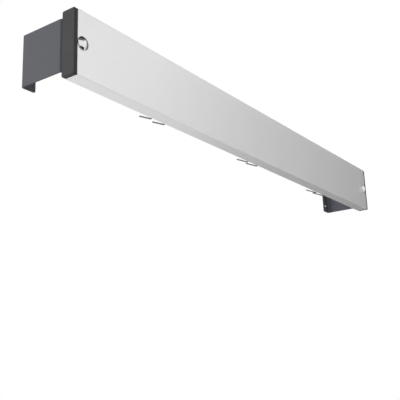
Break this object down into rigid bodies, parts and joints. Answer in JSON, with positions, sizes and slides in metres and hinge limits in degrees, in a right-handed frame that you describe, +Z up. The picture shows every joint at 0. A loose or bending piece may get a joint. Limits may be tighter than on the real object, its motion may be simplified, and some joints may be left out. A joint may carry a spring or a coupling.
{
  "type": "wall coat hook rail",
  "caption": "Wall coat rail: a flat aluminium tube stands off the wall on bent sheet brackets and hides double wire hooks behind its lower edge.",
  "frame": {"origin": "on the wall plane, midway between the two brackets and level with the middle of the rail", "axes": "+Z up, +Y into the wall, +X along the rail to the right of someone who faces it; the rail's front faces -Y"},
  "size_m": [1, 0.1118, 0.1],
  "materials": {
    "anodised_aluminium": "satin anodised",
    "dark_plastic": "moulded, fine matt texture",
    "anthracite_powder_coat": "matt powder coat",
    "chrome_plate": "polished",
    "nickel_wire": "dark nickel plate",
    "zinc_plate": "zinc plated",
    "rivet_alloy": "plain"
  },
  "bodies": {
    "root": {"rail_tube": "anodised_aluminium", "end_cap_left": "dark_plastic", "wall_bracket_left": "anthracite_powder_coat", "dome_bolt_left": "chrome_plate", "spacer_sleeve_left": "zinc_plate", "washer_left": "zinc_plate", "nut_left": "zinc_plate", "end_cap_right": "dark_plastic", "wall_bracket_right": "anthracite_powder_coat", "dome_bolt_right": "chrome_plate", "spacer_sleeve_right": "zinc_plate", "washer_right": "zinc_plate", "nut_right": "zinc_plate", "double_hook_1": "nickel_wire", "hook_saddle_1": "zinc_plate", "hook_rivet_1_upper": "rivet_alloy", "hook_rivet_1_lower": "rivet_alloy", "double_hook_2": "nickel_wire", "hook_saddle_2": "zinc_plate", "hook_rivet_2_upper": "rivet_alloy", "hook_rivet_2_lower": "rivet_alloy", "double_hook_3": "nickel_wire", "hook_saddle_3": "zinc_plate", "hook_rivet_3_upper": "rivet_alloy", "hook_rivet_3_lower": "rivet_alloy"}
  },
  "joints": []
}
